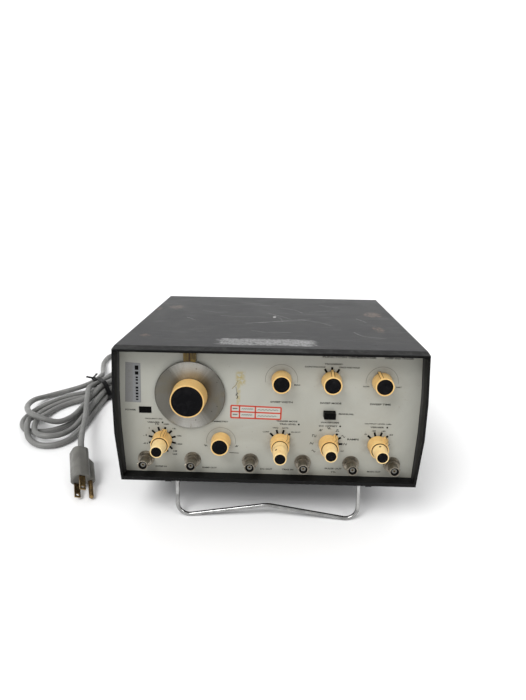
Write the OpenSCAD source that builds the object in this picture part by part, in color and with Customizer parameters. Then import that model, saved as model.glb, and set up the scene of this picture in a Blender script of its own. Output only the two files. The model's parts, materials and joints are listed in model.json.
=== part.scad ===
// Bench function generator: sheet metal case with a recessed control panel, a large frequency
// dial, eight smaller controls, two push buttons, six coaxial jacks, a wire bail that props
// the front up, and a mains cord gathered into a tied hank.
// The case is drawn upright with its panel face on the plane y = 0 and its underside on z = 0,
// and every module is then tipped back by tilted() so that it stands on the bail and rear feet.

/* [Case] */
// Width across the crease of the sides
case_w = 286; // [280:1:292]
// Height of the case without its feet
case_h = 133; // [130:1:140]
// Distance from the panel face to the rear edge of the covers
case_back = 255.5; // [240:0.5:280]
// How far the upper half of the hood stands in front of the panel
hood = 17.5; // [14:0.5:20]
// How far the sill stands in front of the panel at its lower edge
sill_front = 11.8; // [9:0.1:14]
// How much narrower the top and bottom are on each side than the crease
side_taper = 2.3; // [1:0.1:4]
// Height where the sides begin to lean in towards the bottom
crease_low = 51; // [45:1:56]
// Height where the sides begin to lean in towards the top
crease_high = 87; // [82:1:92]
// Thickness of the cover sheets
sheet = 2; // [1.5:0.1:2]
// Height of the seam between the two covers
seam = 69.7; // [60:0.1:78]

/* [Stance] */
// Angle that the front is propped up by
tilt = 9; // [9:1:9]
// Height of a rubber foot
foot_h = 8; // [6:1:10]
// Radius of a rubber foot
foot_r = 9; // [7:0.5:10]
// Rearmost line of the rear feet, measured from the panel
foot_line = 235; // [220:1:240]

/* [Bail] */
// Radius of the bail wire
wire_r = 2; // [2:0.1:2]
// Half the distance between the two legs
bail_half = 89.7; // [80:0.1:95]
// Length of a leg from the pivot to the foot of the wire
bail_leg = 39; // [39:1:39]
// How far the legs lean forward of square to the underside
bail_lean = 8.1; // [8.1:0.1:8.1]
// Bend radius at the foot of a leg
bail_bend = 12; // [10:1:14]
// Slope of the foot wire as it rises to the middle
bail_rise = 8.7; // [6:0.1:9]

/* [Controls] */
// Horizontal centre of the frequency dial
dial_x = -74.3; // [-76:0.1:-72]
// Height of the frequency dial's centre
dial_z = 84.3; // [82:0.1:86]
// Radius of the dial disc
dial_r = 33.1; // [30:0.1:33.5]
// Height of the upper row of knobs
upper_z = 100.6; // [99:0.1:102]
// Height of the lower row of knobs
lower_z = 37.4; // [36:0.1:39]
// Height of the row of coaxial jacks
jack_z = 17.2; // [16:0.1:18]
// Radius of a knob at the panel
knob_r = 9.5; // [9:0.1:10]
// Height of a single knob
knob_h = 14.5; // [13:0.5:16]
// Height of the outer knob of a pair
outer_h = 13; // [12:0.5:14]
// Height of the inner knob of a pair
inner_h = 27.5; // [25:0.5:29]

/* [Rear] */
// Horizontal place of the cord's entry
cord_x = -100; // [-110:1:-90]
// Height of the cord's entry
cord_z = 45; // [40:1:50]
// Diameter of the mains cord
cord_d = 7; // [7:0.1:8]

/* [Hidden] */
$fn = 64;
slack = 0.05;
fit = 0.2;

// Stance in the row's frame
row_y = -125.7;
row_lift = foot_line * sin(tilt) + foot_h * cos(tilt);

// Columns and rows of the panel
range_x = -102.3;
symmetry_x = -45.6;
column_1 = 10.9;
column_2 = 57.2;
column_3 = 103.8;
jack_x = [-118.7, -73.3, -17.4, 33.3, 79.6, 118.9];
power_at = [-117.5, 67.8];
power_size = [11.4, 6];
press_at = [56.8, 67.9];
press_size = [11, 6.2];
panel_t = 2;

// Knob fittings
bush_r = 4.5;
bush_h = 4.2;
nut_h = 2.4;
nut_af = 11;
shaft_r = 3;
core_r = 1.5;
shaft_back = 17;
hollow_r = 7.2;
hollow_h = 5.5;
base_gap = 0.6;
cap_t = 1;
pot_r = 9.5;
pot_back = 20;
pulled_out = 8;

// Pointer directions, clockwise from twelve o'clock
width_turn = 152;
mode_turn = 0;
time_turn = -21;
symmetry_turn = 166;
range_turn = 15;
trigger_turn = 45;
shape_turn = 38;
level_turn = 45;

// Bail and feet
pivot_y = 6;
pivot_z = -4.5;
pin_bend = 5;
pin_end = 100;
foot_x = 112;

// Rear fittings
rear_y = 249;
fuse_at = [62, 50];
selector_at = [104, 50];
sleeve_l = 26;

// Cord on the bench, before row_y is added. It leaves its sleeve behind the case, settles on the
// bench, comes round the rear corner and makes four turns of a loose hank through one tie: each
// turn is a loop in front of the tie and a fold behind it, and the folds lie on each other.
cord_out = [
    [-100, 280.6, 45.8], [-100, 299, 42], [-104, 318, 33], [-115, 336, 21], [-133, 350, 10],
    [-155, 359, 4], [-180, 364, 4], [-205, 367, 4], [-229, 370, 4], [-250, 366, 4],
    [-263, 351, 4], [-265, 330, 4], [-260, 308, 5], [-253, 286, 9], [-249, 269, 13]
];
loop_1 = [
    [-251, 256, 13.5], [-258, 245.5, 12], [-269, 238.5, 9.5], [-284, 234.5, 6], [-298, 229, 4],
    [-311, 217, 5], [-319, 199, 10], [-319, 179, 14], [-311, 159, 18], [-299, 145, 20.5],
    [-282, 137.5, 18.5], [-265, 140, 13], [-254, 152, 12], [-249, 169, 12], [-247, 187, 12],
    [-242.5, 207, 14], [-234, 228, 19.5]
];
loop_2 = [
    [-248, 242, 5], [-262, 230, 4], [-277, 222, 4], [-293, 209, 4], [-306, 192, 4],
    [-315, 172, 4], [-316, 151, 4], [-305, 134, 4], [-286, 130, 4], [-268, 136, 4],
    [-254, 151, 4], [-247, 172, 4], [-243, 196, 4], [-234, 228, 5.2]
];
loop_3 = [
    [-240, 234, 5.2], [-256, 221, 4], [-274, 212, 4], [-290, 197, 4], [-301, 180, 4],
    [-304, 162, 6], [-304, 145, 12], [-299, 127, 12], [-290, 111, 6], [-274, 102, 4],
    [-256, 103, 4], [-243, 115, 4], [-237.5, 134, 4], [-235, 156, 4], [-233, 180, 4],
    [-231, 202, 4], [-227, 223, 5.2]
];
loop_4 = [
    [-237, 231, 12.2], [-254, 212, 7], [-272, 203, 4], [-285, 189, 4], [-292, 173, 5],
    [-295, 157, 8], [-293, 141, 12.5], [-290, 128, 12], [-282, 114.5, 12], [-268, 109.5, 12],
    [-254, 116, 10], [-246, 136, 6.5], [-239.5, 168, 9.5], [-236.5, 189, 11],
    [-234, 208, 11.5], [-230, 225, 12.2]
];
cord_end = [
    [-241, 237, 19.5], [-249, 216, 21.5], [-244.5, 195, 22], [-238.5, 171, 20], [-232, 147, 18],
    [-226, 122, 19], [-220, 99, 22], [-214.5, 81, 24.2], [-210, 68, 23]
];

// Plan of a fold behind the tie, and the four folds on each other
fold = [
    [-218, 246], [-197, 257], [-177, 270], [-166, 289], [-169, 309],
    [-186, 321], [-206, 317], [-219, 301], [-224, 281], [-229, 262]
];
fold_1 = concat(folded(0, 5, 19.4),
    [[-208, 319.5, 19.4], [-224, 306, 17], [-233, 286, 12], [-239, 264, 7]]);
fold_2 = concat(folded(0, 0, 4.5), folded(1, 8, 4), folded(9, 9, 4.5));
fold_3 = concat([[-211, 238, 6], [-194, 251, 11]], folded(2, 8, 11.7), folded(9, 9, 12.3));
fold_4 = concat([[-212, 239, 14.5], [-192, 249, 20], [-173, 263, 26]], folded(3, 6, 27.1),
    [[-219, 301, 24.5], [-224, 281, 22], [-229, 262, 20]]);
cord_route = concat(cord_out, loop_1, fold_1, loop_2, fold_2, loop_3, fold_3, loop_4, fold_4,
    cord_end);

// Tie round the hank: its place, its direction across the strands, and the opening it leaves
tie_at = [-237, 231];
tie_turn = 137.8;
tie_w = 4;
tie_line = [
    [-15, 1], [16.5, 1], [20, 3], [20.3, 5.5], [19, 9], [13.5, 20.8],
    [9.5, 24.4], [-6, 24.4], [-9.6, 22], [-18.7, 8], [-18.5, 3]
];

// Plug at the cord's end, lying on its side with the tip of its ground pin on the bench
plug_at = [-210, 68, 23];
plug_heading = -70.3;
plug_dip = 14;
plug_roll = 59.9;
plug_l = 44;
blade_l = 17.5;
ground_l = 21.5;

function folded(first, last, z) = [for (i = [first:last]) [fold[i].x, fold[i].y, z]];

module tilted() translate([0, row_y, row_lift]) rotate([-tilt, 0, 0]) children();

// Places a shape drawn with +Z pointing out of the panel
module on_panel(x, z) translate([x, 0, z]) rotate([90, 0, 0]) children();

// Places a shape drawn with +Z pointing out of the rear panel
module on_rear(x, z) translate([x, rear_y + panel_t, z]) rotate([-90, 0, 0]) children();

// Extrudes an outline drawn in X and Z from y0 back to y1
module along_y(y0, y1) translate([0, y1, 0]) rotate([90, 0, 0]) linear_extrude(y1 - y0) children();

// Extrudes an outline drawn in Y and Z across the width
module along_x(x0, x1) translate([x0, 0, 0]) rotate([90, 0, 90]) linear_extrude(x1 - x0) children();

function half_width(z) = case_w / 2 - side_taper * (
    z < crease_low ? (crease_low - z) / crease_low
    : z > crease_high ? (z - crease_high) / (case_h - crease_high) : 0);

// Cross-section of the case between two heights, drawn in by an inset at the sides
module section(inset, low, high) {
    levels = [low, for (z = [crease_low, crease_high]) if (z > low && z < high) z, high];
    right = [for (z = levels) [half_width(z) - inset, z]];
    left = [for (i = [len(levels) - 1:-1:0]) [inset - half_width(levels[i]), levels[i]]];
    polygon(concat(right, left));
}

module box_at(low, high) translate(low) cube(high - low);

/* Case */

module front_bezel() color("dimgray") tilted() {
    rim = 2.3;
    lip = 129.4;
    step = 3.9;
    joint_y = -7.8;
    difference() {
        union() {
            along_y(-hood, joint_y) section(0, 0, case_h);
            along_y(joint_y - 1, -fit) section(sheet + fit, sheet + fit, step);
            along_y(joint_y - 1, -fit) section(sheet + fit, lip, case_h - sheet - fit);
        }
        along_y(-hood - 1, 1) section(rim, step, lip);
        along_x(-case_w, case_w)
            polygon([[-hood - 1, -1], [-sill_front, -1], [-sill_front, 0],
                     [-hood, crease_low], [-hood - 1, crease_low]]);
        along_x(-case_w, case_w)
            polygon([[-hood - 1, case_h + 1], [-hood - 1, case_h - 1.5],
                     [-hood, case_h - 1.4], [joint_y, case_h], [joint_y, case_h + 1]]);
    }
}

module front_panel() color("darkseagreen") tilted() difference() {
    along_y(0, panel_t) section(sheet + fit, sheet + fit, case_h - sheet - fit);
    for (x = [column_1, column_2, column_3])
        on_panel(x, upper_z) translate([0, 0, -5]) cylinder(h = 10, r = bush_r + fit);
    for (x = [range_x, symmetry_x, column_1, column_2, column_3])
        on_panel(x, lower_z) translate([0, 0, -5]) cylinder(h = 10, r = bush_r + fit);
    on_panel(dial_x, dial_z) translate([0, 0, -5]) cylinder(h = 10, r = bush_r + fit);
    for (x = jack_x) on_panel(x, jack_z) translate([0, 0, -5]) cylinder(h = 10, r = 4.9);
    button_hole(power_at, power_size);
    button_hole(press_at, press_size);
}

module button_hole(at, size) on_panel(at.x, at.y)
    translate([-size.x / 2 - 0.3, -size.y / 2 - 0.3, -5]) cube([size.x + 0.6, size.y + 0.6, 10]);

module top_cover() color("slategray") tilted() difference() {
    along_y(-7.2, case_back) section(0, seam + 0.2, case_h);
    along_y(-8, case_back + 1) section(sheet, seam - 1, case_h - sheet);
    side_screw_holes(80, 1.7);
}

module bottom_cover() color("darkslategray") tilted() difference() {
    along_y(-7.2, case_back) section(0, 0, seam - 0.2);
    along_y(-8, case_back + 1) section(sheet, sheet, seam + 1);
    side_screw_holes(60, 1.7);
    for (side = [-1, 1], i = [0:6]) translate([side * 60 - 20, 90 + 14 * i, -1]) cube([40, 5, 4]);
}

module rear_panel() color("gray") tilted() difference() {
    along_y(rear_y, rear_y + panel_t) section(sheet + fit, sheet + fit, case_h - sheet - fit);
    on_rear(cord_x, cord_z) translate([0, 0, -5]) cylinder(h = 10, r = 6.7);
    on_rear(fuse_at.x, fuse_at.y) translate([0, 0, -5]) cylinder(h = 10, r = 7.7);
    on_rear(selector_at.x, selector_at.y) translate([-10.3, -5.3, -5]) cube([20.6, 10.6, 10]);
    for (i = [0:8]) translate([-60 + 11 * i, rear_y - 1, 76]) cube([4, 5, 34]);
}

module side_screw_holes(z, r) for (side = [-1, 1], y = [40, 215])
    translate([side * 150, y, z]) rotate([0, -90 * side, 0]) {
        cylinder(h = 20, r = r);
        translate([0, 0, 150 - case_w / 2]) cylinder(h = 1.6, r1 = 3.15, r2 = r - 0.05);
    }

module side_rails() color("lightgray") tilted() for (side = [-1, 1]) difference() {
    union() {
        box_at([side * 138.8 - 2, 2.3, 55], [side * 138.8 + 2, rear_y - 0.3, 84]);
        box_at([side * 131.8 - 5, 2.3, 55], [side * 131.8 + 5, rear_y - 0.3, 57]);
    }
    for (y = [40, 215], z = [60, 80]) translate([side * 150, y, z]) rotate([0, -90 * side, 0])
        cylinder(h = 20, r = 1.55);
}

module cover_screws() color("silver") tilted() for (side = [-1, 1], y = [40, 215], z = [60, 80])
    translate([side * case_w / 2, y, z]) rotate([0, -90 * side, 0]) difference() {
        union() {
            cylinder(h = 1.4, r1 = 3, r2 = 1.5);
            cylinder(h = 6, r = 1.5);
        }
        for (turn = [0, 90]) rotate([0, 0, turn]) translate([-1.6, -0.3, -1]) cube([3.2, 0.6, 1.6]);
    }

/* Inside */

module main_board() color("darkgreen") tilted() difference() {
    box_at([-56, 30, 9], [132, 236, 10.6]);
    for (x = [-48, 38, 124], y = [38, 228]) translate([x, y, 8]) cylinder(h = 4, r = 1.6);
}

module board_standoffs() color("gainsboro") tilted()
    for (x = [-48, 38, 124], y = [38, 228]) translate([x, y, sheet + 0.05])
        cylinder(h = 6.9, r = 3);

module board_parts() color("indianred") tilted() {
    for (row = [0:4], column = [0:5])
        box_at([-40 + 27 * column, 56 + 22 * row, 10.7], [-24 + 27 * column, 63 + 22 * row, 14]);
    for (column = [0:4]) translate([-30 + 30 * column, 178, 10.7]) cylinder(h = 12, r = 4);
    for (column = [0:2]) box_at([-20 + 26 * column, 214, 10.7], [-10 + 26 * column, 219, 34]);
}

module power_transformer() color("peru") tilted() {
    box_at([-124, 150, sheet + 0.1], [-66, 212, 6]);
    box_at([-120, 158, 6], [-70, 204, 56]);
    box_at([-110, 148, 14], [-80, 214, 48]);
}

module filter_capacitors() color("steelblue") tilted()
    for (x = [66, 92, 118]) translate([x, 200, 10.7]) cylinder(h = 42, r = 11);

module control_bodies() color("goldenrod") tilted() {
    for (x = [column_1, column_2, column_3]) control_body(x, upper_z, pot_r);
    for (x = [range_x, symmetry_x, column_1, column_2, column_3]) control_body(x, lower_z, pot_r);
    control_body(dial_x, dial_z, 14);
}

module control_body(x, z, r) on_panel(x, z) difference() {
    union() {
        translate([0, 0, -pot_back]) cylinder(h = pot_back - panel_t - 0.1, r = r);
        translate([0, 0, -pot_back]) cylinder(h = pot_back + bush_h, r = bush_r);
    }
    translate([0, 0, 1 - pot_back]) cylinder(h = 40, r = shaft_r + slack);
}

module control_nuts() color("silver") tilted() {
    for (x = [column_1, column_2, column_3]) control_nut(x, upper_z);
    for (x = [range_x, symmetry_x, column_1, column_2, column_3]) control_nut(x, lower_z);
    control_nut(dial_x, dial_z);
}

module control_nut(x, z) on_panel(x, z) difference() {
    cylinder(h = nut_h - 1, r = nut_af / 2 / cos(30), $fn = 6);
    translate([0, 0, -1]) cylinder(h = 4, r = bush_r + slack);
}

module switch_body(at) on_panel(at.x, at.y) difference() {
    translate([-8, -5, -44]) cube([16, 10, 29]);
    translate([-2.3, -2.3, -42]) cube([4.6, 4.6, 40]);
}

module power_switch() color("dimgray") tilted() switch_body(power_at);

module trigger_switch() color("dimgray") tilted() switch_body(press_at);

/* Panel fittings */

module dial_index() color("darkgoldenrod") tilted() difference() {
    box_at([dial_x - 4.7, -6, 118], [dial_x + 6.6, -0.05, 127.4]);
    box_at([dial_x + 0.5, -7, 117], [dial_x + 1.3, -5.6, 128]);
}

module bnc_shells() color("silver") tilted() for (x = jack_x) on_panel(x, jack_z) {
    difference() {
        union() {
            translate([0, 0, -9]) cylinder(h = 15, r = 4.4);
            translate([0, 0, 2.3]) cylinder(h = 3.2, r = 6.3);
            translate([0, 0, 5]) cylinder(h = 9, r = 4.6);
            translate([0, 0, 13.2]) cylinder(h = 1.8, r = 4.85);
        }
        translate([0, 0, -10]) cylinder(h = 30, r = 2.4);
        translate([0, 0, 6.5]) cylinder(h = 10, r = 4.05);
    }
    for (side = [-1, 1]) translate([side * 4.2, 0, 11.6]) rotate([0, 90 * side, 0])
        cylinder(h = 1.6, r = 1);
}

module bnc_nuts() color("gray") tilted() for (x = jack_x) on_panel(x, jack_z) difference() {
    union() {
        cylinder(h = 1, r = 8);
        cylinder(h = 2.2, r = 7.9, $fn = 6);
    }
    translate([0, 0, -1]) cylinder(h = 5, r = 4.45);
}

module bnc_insulators() color("white") tilted() for (x = jack_x) on_panel(x, jack_z) difference() {
    translate([0, 0, -9]) cylinder(h = 22.4, r = 2.35);
    translate([0, 0, -10]) cylinder(h = 30, r = 1.1);
}

module bnc_contacts() color("gold") tilted() for (x = jack_x) on_panel(x, jack_z) difference() {
    translate([0, 0, -14]) cylinder(h = 27, r = 1.05);
    translate([0, 0, 7]) cylinder(h = 10, r = 0.5);
}

/* Rear fittings, feet and brackets */

module fuse_holder() color("black") tilted() on_rear(fuse_at.x, fuse_at.y) difference() {
    union() {
        translate([0, 0, -34]) cylinder(h = 34.05, r = 7.4);
        translate([0, 0, 0.05]) cylinder(h = 2, r = 9.5);
    }
    translate([0, 0, -30]) cylinder(h = 40, r = 5.6);
}

module voltage_selector() color("black") tilted() on_rear(selector_at.x, selector_at.y)
    difference() {
        translate([-10, -5, -10]) cube([20, 10, 10.8]);
        translate([-8, -3, -2.5]) cube([16, 6, 6]);
    }

module strain_relief() color("black") tilted() on_rear(cord_x, cord_z) {
    translate([0, 0, -8]) cylinder(h = 8.1, r = 6.6);
    translate([0, 0, 0.05]) cylinder(h = 3, r = 9);
    translate([0, 0, 3]) cylinder(h = sleeve_l - 3.3, r1 = 6.4, r2 = cord_d / 2 + 0.6);
}

module foot(x, y) difference() {
    translate([x, y, -foot_h]) cylinder(h = foot_h - 0.05, r = foot_r);
    translate([x, y, -foot_h - 1]) cylinder(h = 4, r = 3);
}

module rear_feet() color("black") tilted() for (side = [-1, 1]) foot(side * foot_x, foot_line - foot_r);

module front_feet() color("black") tilted() for (side = [-1, 1]) foot(side * (foot_x + 4), 24);

module bail_brackets() color("silver") tilted() for (side = [-1, 1]) difference() {
    box_at([side * 98.5 - 3, pivot_y - 5, -8], [side * 98.5 + 3, pivot_y + 5, -0.05]);
    translate([side * 98.5 - 10, pivot_y, pivot_z]) rotate([0, 90, 0])
        cylinder(h = 20, r = wire_r + slack);
}

/* Knobs */

// Raised pointer along +Y on the flank of a knob
module pointer(width, inner, tip, low, high) rotate([90, 0, 90])
    translate([0, 0, -width / 2]) linear_extrude(width)
        polygon([[inner, low], [tip, low], [tip, low + 1.5], [inner + 1.2, high], [inner, high]]);

module single_knob(x, z, turn) on_panel(x, z) rotate([0, 0, -turn]) {
    face_r = knob_r - 1.1;
    difference() {
        union() {
            translate([0, 0, base_gap]) cylinder(h = knob_h - base_gap, r1 = knob_r, r2 = face_r);
            pointer(2.2, 7.4, knob_r + 1.6, base_gap, knob_h - 1.2);
        }
        translate([0, 0, -1]) cylinder(h = hollow_h + 1, r = hollow_r);
        translate([0, 0, knob_h - cap_t - slack]) cylinder(h = 5, r = face_r - 1.05);
    }
    translate([0, 0, -shaft_back]) cylinder(h = shaft_back + hollow_h + 1, r = shaft_r);
}

module single_cap(x, z) on_panel(x, z) translate([0, 0, knob_h - cap_t])
    cylinder(h = cap_t - 0.1, r = knob_r - 2.2);

module outer_knob(x, turn) on_panel(x, lower_z) rotate([0, 0, -turn]) difference() {
    union() {
        difference() {
            union() {
                translate([0, 0, base_gap])
                    cylinder(h = outer_h - base_gap, r1 = knob_r, r2 = knob_r - 0.9);
                pointer(4.4, 7.4, knob_r + 2, base_gap, outer_h - 0.5);
            }
            translate([0, 0, -1]) cylinder(h = hollow_h + 1, r = hollow_r);
        }
        translate([0, 0, -shaft_back]) cylinder(h = shaft_back + hollow_h + 1, r = shaft_r);
    }
    translate([0, 0, -shaft_back - 1]) cylinder(h = 60, r = core_r + slack);
}

module inner_knob(x, out) on_panel(x, lower_z) translate([0, 0, out]) {
    difference() {
        translate([0, 0, outer_h + 0.4]) cylinder(h = inner_h - outer_h - 0.4, r1 = 7, r2 = 5.8);
        translate([0, 0, inner_h - cap_t - slack]) cylinder(h = 5, r = 4.85);
    }
    translate([0, 0, -shaft_back]) cylinder(h = shaft_back + outer_h + 1, r = core_r);
}

module inner_cap(x, out) on_panel(x, lower_z) translate([0, 0, out + inner_h - cap_t])
    cylinder(h = cap_t - 0.1, r = 4.8);

module dial_disc() color("lightgray") tilted() on_panel(dial_x, dial_z) difference() {
    translate([0, 0, 1.8]) cylinder(h = 1.4, r = dial_r, $fn = 128);
    translate([0, 0, 0]) cylinder(h = 5, r = hollow_r);
}

module dial_knob() color("burlywood") tilted() on_panel(dial_x, dial_z) {
    difference() {
        translate([0, 0, 3.25]) cylinder(h = 16.75, r1 = 16.7, r2 = 15.6);
        translate([0, 0, 0]) cylinder(h = 7, r = hollow_r);
        translate([0, 0, 20 - 1.2 - slack]) cylinder(h = 5, r = 14.45);
    }
    translate([0, 0, -shaft_back]) cylinder(h = shaft_back + 8, r = shaft_r);
}

module dial_cap() color("black") tilted() on_panel(dial_x, dial_z)
    translate([0, 0, 20 - 1.2]) cylinder(h = 1.1, r = 14.4);

module sweep_width_knob() color("burlywood") tilted() single_knob(column_1, upper_z, width_turn);
module sweep_width_cap() color("black") tilted() single_cap(column_1, upper_z);
module sweep_mode_knob() color("burlywood") tilted() single_knob(column_2, upper_z, mode_turn);
module sweep_mode_cap() color("black") tilted() single_cap(column_2, upper_z);
module sweep_time_knob() color("burlywood") tilted() single_knob(column_3, upper_z, time_turn);
module sweep_time_cap() color("black") tilted() single_cap(column_3, upper_z);
module symmetry_knob() color("burlywood") tilted() single_knob(symmetry_x, lower_z, symmetry_turn);
module symmetry_cap() color("black") tilted() single_cap(symmetry_x, lower_z);
module range_outer() color("burlywood") tilted() outer_knob(range_x, range_turn);
module range_inner() color("wheat") tilted() inner_knob(range_x, 0);
module range_cap() color("black") tilted() inner_cap(range_x, 0);
module trigger_outer() color("burlywood") tilted() outer_knob(column_1, trigger_turn);
module trigger_inner() color("wheat") tilted() inner_knob(column_1, pulled_out);
module trigger_cap() color("black") tilted() inner_cap(column_1, pulled_out);
module shape_outer() color("burlywood") tilted() outer_knob(column_2, shape_turn);
module shape_inner() color("wheat") tilted() inner_knob(column_2, 0);
module shape_cap() color("black") tilted() inner_cap(column_2, 0);
module level_outer() color("burlywood") tilted() outer_knob(column_3, level_turn);
module level_inner() color("wheat") tilted() inner_knob(column_3, 0);
module level_cap() color("black") tilted() inner_cap(column_3, 0);

/* Other moving parts */

module push_button(at, size, out) on_panel(at.x, at.y) {
    translate([-size.x / 2, -size.y / 2, out - 12]) cube([size.x, size.y, 12]);
    translate([-2, -2, out - 34]) cube([4, 4, 23]);
}

module power_button() color("black") tilted() push_button(power_at, power_size, 0.5);

module trigger_button() color("black") tilted() push_button(press_at, press_size, 7);

module selector_slide() color("red") tilted() on_rear(selector_at.x, selector_at.y)
    translate([-7.7, -2.7, -2.2]) cube([7, 5.4, 3.6]);

module fuse_cap() color("dimgray") tilted() on_rear(fuse_at.x, fuse_at.y) {
    difference() {
        translate([0, 0, 2.4]) cylinder(h = 8, r = 7.5);
        translate([-1, -5, 9]) cube([2, 10, 3]);
    }
    translate([0, 0, -25]) cylinder(h = 28, r = 5.55);
}

// Points of an arc in the XZ plane, every few degrees from one angle to another
function arc(centre, r, from, to, steps) = [for (k = [0:steps])
    let (a = from + (to - from) * k / steps) centre + r * [cos(a), 0, sin(a)]];

// Centre line of the bail's right half in its own plane, from the pivot pin to the crest:
// bend into the leg, leg, foot bend, rising foot wire and the crest's own gentle bend
function bail_line() =
    let (
        bend = [bail_half - bail_bend, 0, bail_bend - bail_leg],
        crest_r = 30,
        foot_x = bend.x - bail_bend * sin(bail_rise),
        foot_z = bend.z - bail_bend * cos(bail_rise),
        crest_x = crest_r * sin(bail_rise),
        crest_z = foot_z + (foot_x - crest_x) * tan(bail_rise) - crest_r * cos(bail_rise)
    ) concat(
        [[pin_end, 0, 0]],
        arc([bail_half + pin_bend, 0, -pin_bend], pin_bend, 90, 180, 7),
        arc(bend, bail_bend, 0, -90 - bail_rise, 11),
        arc([0, 0, crest_z], crest_r, 90 - bail_rise, 90, 2)
    );

module bail() color("silver") tilted() translate([0, pivot_y, pivot_z]) rotate([-bail_lean, 0, 0]) {
    right = bail_line();
    left = [for (i = [len(right) - 2:-1:0]) [-right[i].x, 0, right[i].z]];
    tube(concat(right, left), wire_r, 16, [0, 1, 0]);
}

/* Mains cord */

function unit(v) = v / norm(v);

// Tangent of the route at point i
function along(p, i) = unit(p[min(i + 1, len(p) - 1)] - p[max(i - 1, 0)]);

// Ring of points square to the route at point i, started from a fixed direction off the route
function ring(p, i, r, sides, off) =
    let (t = along(p, i), across = unit(cross(t, off)), up = cross(across, t))
    [for (k = [0:sides - 1])
        p[i] + r * (cos(360 * k / sides) * across + sin(360 * k / sides) * up)];

module tube(p, r, sides, off) {
    rings = len(p);
    points = [for (i = [0:rings - 1]) each ring(p, i, r, sides, off)];
    flanks = [for (i = [0:rings - 2], k = [0:sides - 1])
        [i * sides + k, (i + 1) * sides + k, (i + 1) * sides + (k + 1) % sides,
         i * sides + (k + 1) % sides]];
    first_end = [for (k = [0:sides - 1]) k];
    last_end = [for (k = [sides - 1:-1:0]) (rings - 1) * sides + k];
    polyhedron(points, concat(flanks, [first_end], [last_end]));
}

module mains_cord() color("gray") translate([0, row_y, 0]) tube(cord_route, cord_d / 2, 8, [0, 0, 1]);

// Places a shape drawn with +Z along the plug to its blades and +X towards its ground pin
module at_plug() translate([0, row_y, 0]) translate(plug_at) rotate([0, 90 + plug_dip, plug_heading])
    rotate([0, 0, plug_roll]) children();

module plug_body() color("gray") at_plug() difference() {
    union() {
        hull() {
            translate([0, 0, 0.7]) cylinder(h = 1, r = 5.4);
            plug_block(4.5, 8, 6);
        }
        hull() {
            plug_block(7, plug_l - 1.2, 6);
            plug_block(7, plug_l, 5);
        }
        hull() {
            translate([2, 0, 12]) cylinder(h = 20, r = 4.5);
            translate([7.5, 0, 20]) cylinder(h = plug_l - 21.2, r = 5.7);
            translate([7.5, 0, 20]) cylinder(h = plug_l - 20, r = 4.7);
        }
    }
    for (side = [-1, 1]) translate([-7.3, side * 6.35 - 0.85, plug_l - 6]) cube([6.6, 1.7, 10]);
    translate([8, 0, plug_l - 6]) cylinder(h = 10, r = 2.5);
}

// Rounded block round the two blades, between two distances along the plug
module plug_block(low, high, r) for (x = [-5.5, 0], y = [-3.5, 3.5])
    translate([x, y, low]) cylinder(h = high - low, r = r);

module plug_pins() color("gold") at_plug() {
    for (side = [-1, 1]) translate([-7.1, side * 6.35 - 0.75, plug_l - 5]) difference() {
        cube([6.3, 1.5, blade_l + 5]);
        translate([3.15, -1, blade_l + 1.8]) rotate([-90, 0, 0]) cylinder(h = 4, r = 1.6);
    }
    translate([8, 0, plug_l - 5]) cylinder(h = ground_l + 3.5, r = 2.4);
    translate([8, 0, plug_l + ground_l - 1.5]) cylinder(h = 1.5, r1 = 2.4, r2 = 1.2);
}

// A straight rod between two points
module rod(a, b, r) {
    run = b - a;
    translate(a) rotate([0, acos(run.z / norm(run)), atan2(run.y, run.x)])
        cylinder(h = norm(run), r = r, $fn = 12);
}

module cord_tie() color("black") translate([tie_at.x, tie_at.y + row_y, 0]) rotate([0, 0, tie_turn]) {
    along_y(-tie_w / 2, tie_w / 2) difference() {
        offset(delta = 0.9) polygon(tie_line);
        polygon(tie_line);
    }
    rod([14.6, 0, 17.6], [21, 1, 22], 2.1);
    rod([20, 1, 21.4], [26, -5, 22.5], 1.1);
    rod([20, 1, 21.4], [22, 7, 26], 1.1);
}

front_bezel();
front_panel();
top_cover();
bottom_cover();
rear_panel();
side_rails();
cover_screws();
main_board();
board_standoffs();
board_parts();
power_transformer();
filter_capacitors();
control_bodies();
control_nuts();
power_switch();
trigger_switch();
dial_index();
bnc_shells();
bnc_nuts();
bnc_insulators();
bnc_contacts();
fuse_holder();
voltage_selector();
strain_relief();
rear_feet();
front_feet();
bail_brackets();
dial_disc();
dial_knob();
dial_cap();
sweep_width_knob();
sweep_width_cap();
sweep_mode_knob();
sweep_mode_cap();
sweep_time_knob();
sweep_time_cap();
symmetry_knob();
symmetry_cap();
range_outer();
range_inner();
range_cap();
trigger_outer();
trigger_inner();
trigger_cap();
shape_outer();
shape_inner();
shape_cap();
level_outer();
level_inner();
level_cap();
power_button();
trigger_button();
selector_slide();
fuse_cap();
bail();
mains_cord();
plug_body();
plug_pins();
cord_tie();
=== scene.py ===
"""Looks of a bench function generator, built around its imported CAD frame."""
import json
import math

import bmesh
import bpy
from mathutils import Matrix, Vector


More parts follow.
